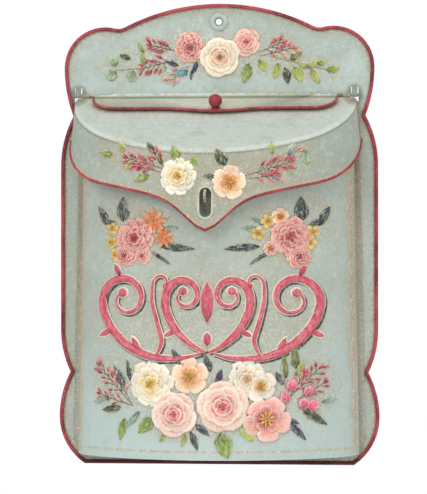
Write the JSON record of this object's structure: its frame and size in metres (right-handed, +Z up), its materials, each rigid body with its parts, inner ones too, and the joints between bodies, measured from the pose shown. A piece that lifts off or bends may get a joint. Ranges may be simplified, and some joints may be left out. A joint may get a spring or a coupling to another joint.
{
  "type": "wall mounted letter box",
  "caption": "Wall-hung letter box of pressed, painted sheet metal with a scalloped back plate, a bowed bin, a hinged sloping lid and a letter flap with a ball knob.",
  "frame": {"origin": "on the axis of the hanging hole, in the rear face of the back plate that lies on the wall", "axes": "+Z up, -Y to the front away from the wall, +X to the right of someone facing the front"},
  "size_m": [0.279, 0.1095, 0.4],
  "materials": {
    "plate_paint": "worn satin",
    "bin_paint": "worn satin",
    "lid_paint": "worn satin",
    "flap_paint": "worn satin",
    "knob_paint": "satin",
    "bare_steel": "dull"
  },
  "bodies": {
    "housing": {"back_plate": "plate_paint", "hanging_eyelet": "plate_paint", "hinge_rod": "bare_steel", "letter_bin": "bin_paint", "bin_floor": "bin_paint", "lock_staple": "bare_steel"},
    "lid": {"lid": "lid_paint"},
    "flap": {"letter_flap": "flap_paint", "flap_knob": "knob_paint", "knob_screw": "bare_steel"}
  },
  "joints": [
    {"name": "lid_hinge", "type": "hinge", "parent": "housing", "child": "lid", "pos_m": [-0.0025, -0.00315, -0.064], "axis": [-1, 0, 0], "range_deg": [0, 52]},
    {"name": "flap_hinge", "type": "hinge", "parent": "lid", "child": "flap", "pos_m": [-0.0025, -0.00315, -0.064], "axis": [-1, 0, 0], "range_deg": [0, 37]}
  ]
}
